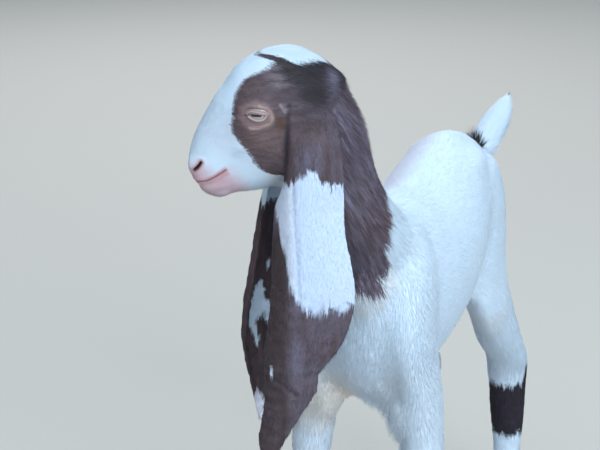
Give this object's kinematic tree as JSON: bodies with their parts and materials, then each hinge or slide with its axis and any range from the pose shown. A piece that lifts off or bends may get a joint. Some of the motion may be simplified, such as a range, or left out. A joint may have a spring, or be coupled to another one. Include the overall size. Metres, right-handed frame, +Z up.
{
  "type": "kamori goat",
  "caption": "Life-size still model of a young Kamori goat, standing with its head turned to its right, long pendulous ears hanging and short tail raised.",
  "frame": {"origin": "on the floor under the middle of the model's box as seen from above", "axes": "+Z up; the goat's body faces -X and its left side faces -Y"},
  "size_m": [0.487, 0.1876, 0.5562],
  "materials": {
    "coat": "short dense hair, white with dark brown and slate patches",
    "eye": "wet, pale grey iris with a level slit pupil",
    "horn": "dull horn"
  },
  "bodies": {
    "root": {"torso": "coat", "neck": "coat", "head": "coat", "tail": "coat", "ear_left": "coat", "ear_right": "coat", "fore_leg_left": "coat", "fore_leg_right": "coat", "fore_cannon_left": "coat", "fore_cannon_right": "coat", "fore_foot_left": "coat", "fore_foot_right": "coat", "hind_leg_left": "coat", "hind_leg_right": "coat", "hind_cannon_left": "coat", "hind_cannon_right": "coat", "hind_foot_left": "coat", "hind_foot_right": "coat", "eye_left": "eye", "eye_right": "eye", "hoof_fore_left_a": "horn", "hoof_fore_left_b": "horn", "hoof_fore_right_a": "horn", "hoof_fore_right_b": "horn", "hoof_hind_left_a": "horn", "hoof_hind_left_b": "horn", "hoof_hind_right_a": "horn", "hoof_hind_right_b": "horn", "dewclaw_fore_left_a": "horn", "dewclaw_fore_left_b": "horn", "dewclaw_fore_right_a": "horn", "dewclaw_fore_right_b": "horn", "dewclaw_hind_left_a": "horn", "dewclaw_hind_left_b": "horn", "dewclaw_hind_right_a": "horn", "dewclaw_hind_right_b": "horn"}
  },
  "joints": []
}
